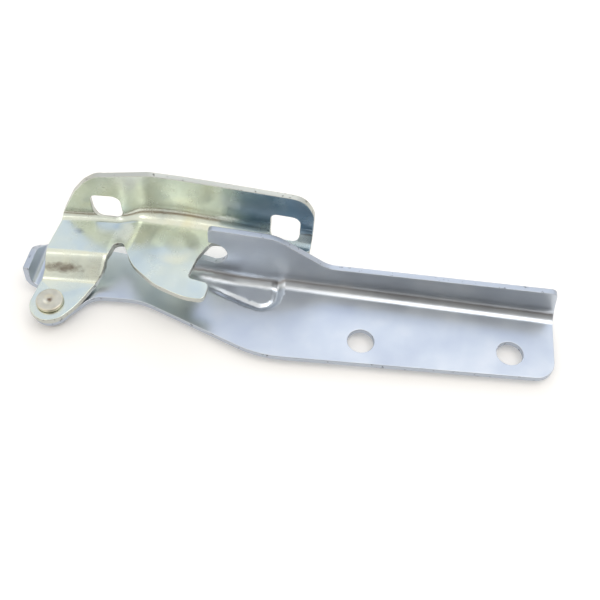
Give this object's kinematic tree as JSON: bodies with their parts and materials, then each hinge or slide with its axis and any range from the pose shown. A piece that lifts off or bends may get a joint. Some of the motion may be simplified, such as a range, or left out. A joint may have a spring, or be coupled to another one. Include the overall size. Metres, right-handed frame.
{
  "type": "bonnet hinge",
  "caption": "Pressed-steel bonnet hinge: cranked body bracket with a slotted flange and hook finger, and a long flanged bonnet arm with a catch notch, turning on one rivet.",
  "frame": {"origin": "on the under face of the arm's web, midway between the two bolt holes", "axes": "+X along the arm from the pivot to its free end, +Z along the pivot axis towards the rivet's head, +Y towards the mounting flange"},
  "size_m": [0.2124, 0.0555, 0.0427],
  "materials": {
    "bright_zinc": "bright zinc plated pressed steel",
    "passivated_zinc": "yellow passivated zinc on pressed steel",
    "rivet_steel": "zinc plated steel rivet",
    "washer_steel": "plain steel washer"
  },
  "bodies": {
    "bracket": {"body_bracket": "passivated_zinc", "pivot_rivet": "rivet_steel", "eye_washer": "washer_steel", "tail_washer": "washer_steel"},
    "arm": {"bonnet_arm": "bright_zinc"}
  },
  "joints": [
    {"name": "pivot", "type": "hinge", "parent": "bracket", "child": "arm", "pos_m": [-0.15175, 0.0039, 0.0025], "axis": [0, 0, -1], "range_deg": [0, 17]}
  ]
}
